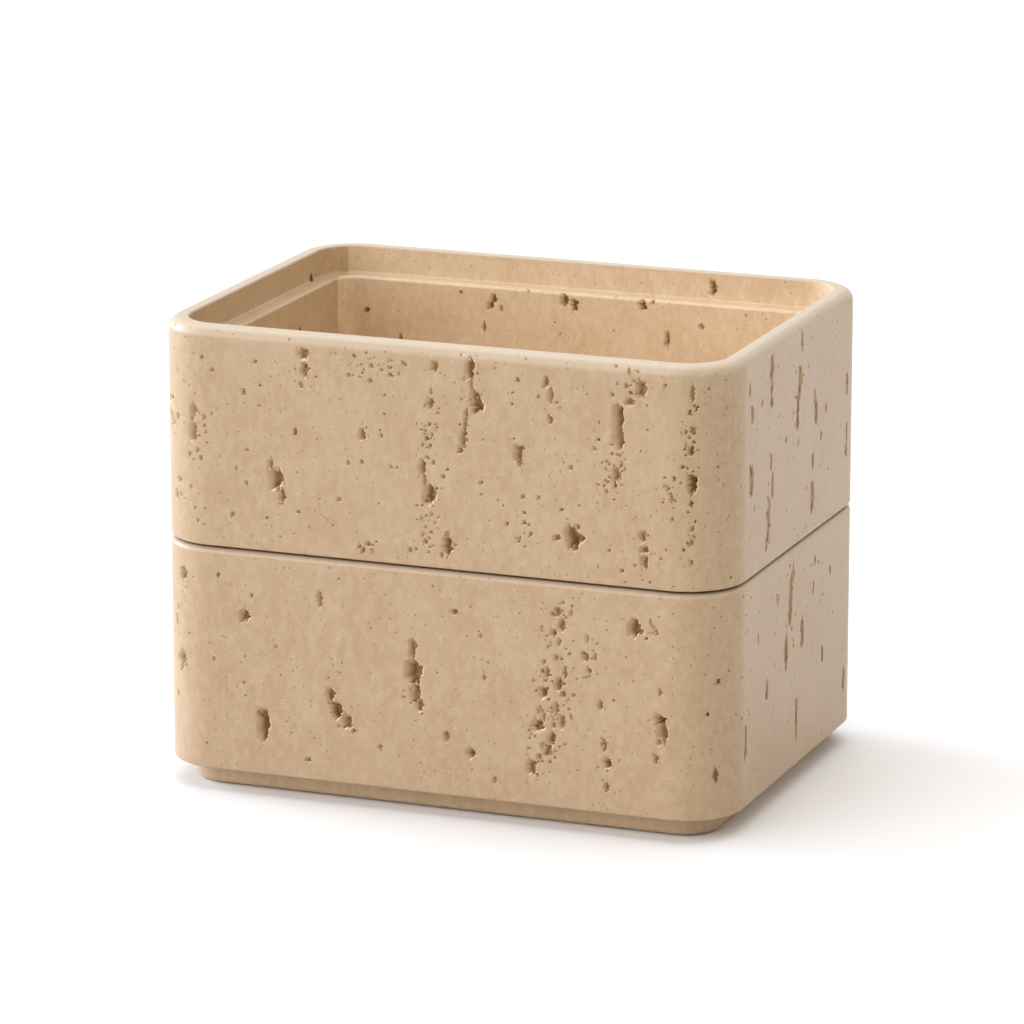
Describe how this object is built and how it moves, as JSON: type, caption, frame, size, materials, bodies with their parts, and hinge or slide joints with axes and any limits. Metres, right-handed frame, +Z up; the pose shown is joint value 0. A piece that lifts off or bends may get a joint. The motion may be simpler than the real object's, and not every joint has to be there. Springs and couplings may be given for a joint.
{
  "type": "jewellery organizer",
  "caption": "Stack of open rectangular trays with rounded corners and a pitted travertine finish, for jewellery and small toiletries; the upper tray lifts off.",
  "frame": {"origin": "on the surface it stands on, under the middle of the stack", "axes": "+Z up, +X to the right and -Y to the front as the long front side is seen"},
  "size_m": [0.105, 0.0764, 0.0828],
  "materials": {
    "travertine": "honed beige travertine look, satin, with pits and fine brown pores",
    "pad_rubber": "matte"
  },
  "bodies": {
    "lower_tier": {"lower_tray": "travertine", "lower_pad_front_left": "pad_rubber", "lower_pad_front_right": "pad_rubber", "lower_pad_back_right": "pad_rubber", "lower_pad_back_left": "pad_rubber"},
    "upper_tier": {"upper_tray": "travertine", "upper_pad_front_left": "pad_rubber", "upper_pad_front_right": "pad_rubber", "upper_pad_back_right": "pad_rubber", "upper_pad_back_left": "pad_rubber"}
  },
  "joints": [
    {"name": "upper_tier_lift", "type": "slide", "parent": "lower_tier", "child": "upper_tier", "axis": [0, 0, 1], "range_m": [0, 0.06]}
  ]
}
